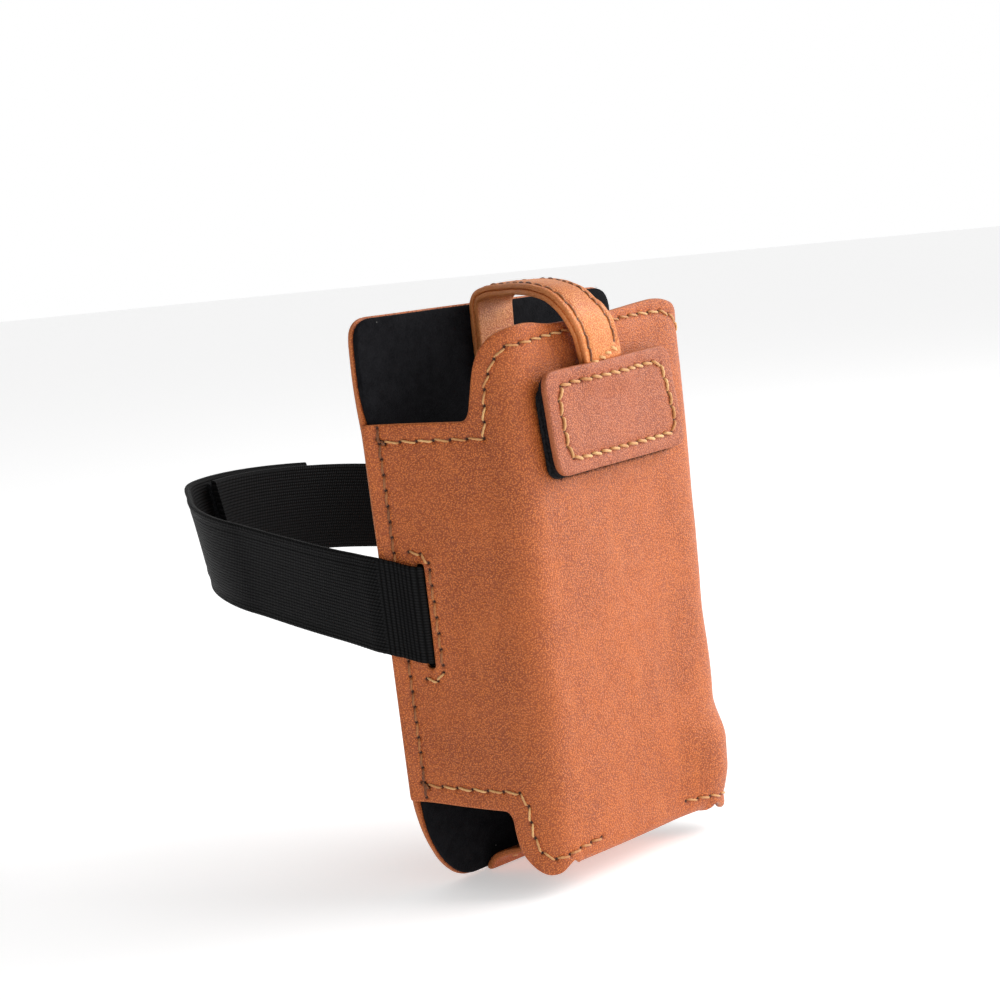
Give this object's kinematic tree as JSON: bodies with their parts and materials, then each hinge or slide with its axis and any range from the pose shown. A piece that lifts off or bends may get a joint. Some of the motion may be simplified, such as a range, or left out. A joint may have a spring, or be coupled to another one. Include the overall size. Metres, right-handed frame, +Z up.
{
  "type": "leather transmitter pouch for a saxophone bell",
  "caption": "Leather pouch with a hook-and-loop closure strap over its mouth and an elastic band that straps it round a saxophone bell.",
  "frame": {"origin": "middle of the back panel's rear face, where the pouch lies on the instrument's bell", "axes": "+Y towards the bell, +Z up towards the pouch's mouth, +X to the right seen from the front"},
  "size_m": [0.1064, 0.14, 0.1447],
  "materials": {
    "tan_leather": "tan nubuck leather with a fine pebbled grain",
    "strap_leather": "orange-tan suede side of the same leather",
    "black_felt": "black brushed felt",
    "black_elastic": "black woven ribbed elastic",
    "hook_and_loop": "black hook-and-loop tape",
    "gold_thread": "golden-beige waxed thread"
  },
  "bodies": {
    "pouch": {"front_sheet": "tan_leather", "front_lining": "black_felt", "back_panel": "tan_leather", "back_lining": "black_felt", "closure_strap_root": "strap_leather", "closure_loop_pad": "hook_and_loop", "left_band_end": "black_elastic", "right_band_end": "black_elastic", "mouth_thread": "gold_thread", "left_wing_thread": "gold_thread", "left_foot_thread": "gold_thread", "left_slot_thread": "gold_thread", "right_wing_thread": "gold_thread", "right_foot_thread": "gold_thread", "right_slot_thread": "gold_thread", "strap_root_thread": "gold_thread", "flap_thread": "gold_thread"},
    "closure_strap": {"closure_strap_outer": "strap_leather", "closure_strap_inner": "strap_leather", "strap_thread": "gold_thread"},
    "patch": {"closure_patch": "tan_leather", "closure_hook_pad": "hook_and_loop", "patch_thread": "gold_thread"},
    "band_left_length": {"left_band": "black_elastic"},
    "band_back_length": {"back_band": "black_elastic", "band_hook_pad": "hook_and_loop"},
    "band_right_length": {"right_band": "black_elastic", "band_loop_pad": "hook_and_loop"}
  },
  "joints": [
    {"name": "closure_swing", "type": "hinge", "parent": "pouch", "child": "closure_strap", "pos_m": [-0.007, -0.0016, 0.067], "axis": [-1, 0, 0], "range_deg": [0, 150]},
    {"name": "patch_peel", "type": "hinge", "parent": "closure_strap", "child": "patch", "pos_m": [-0.0039, -0.0414, 0.0492], "axis": [-0.9973, 0, -0.0732], "range_deg": [0, 75]},
    {"name": "band_left_swing", "type": "hinge", "parent": "pouch", "child": "band_left_length", "pos_m": [-0.0441, -0.0095, -0.0018], "axis": [-0.0401, 0, 0.9992], "range_deg": [0, 55]},
    {"name": "band_back_swing", "type": "hinge", "parent": "band_left_length", "child": "band_back_length", "pos_m": [-0.0447, 0.0533, 0.0071], "axis": [-0.1015, 0.1211, 0.9874], "range_deg": [0, 80]},
    {"name": "band_right_swing", "type": "hinge", "parent": "pouch", "child": "band_right_length", "pos_m": [0.0441, -0.0095, -0.0018], "axis": [0.0401, 0, 0.9992], "range_deg": [-22, 0]}
  ],
  "couplings": [
    {"joint": "band_right_swing", "follows": "band_left_swing", "ratio": -0.4}
  ]
}
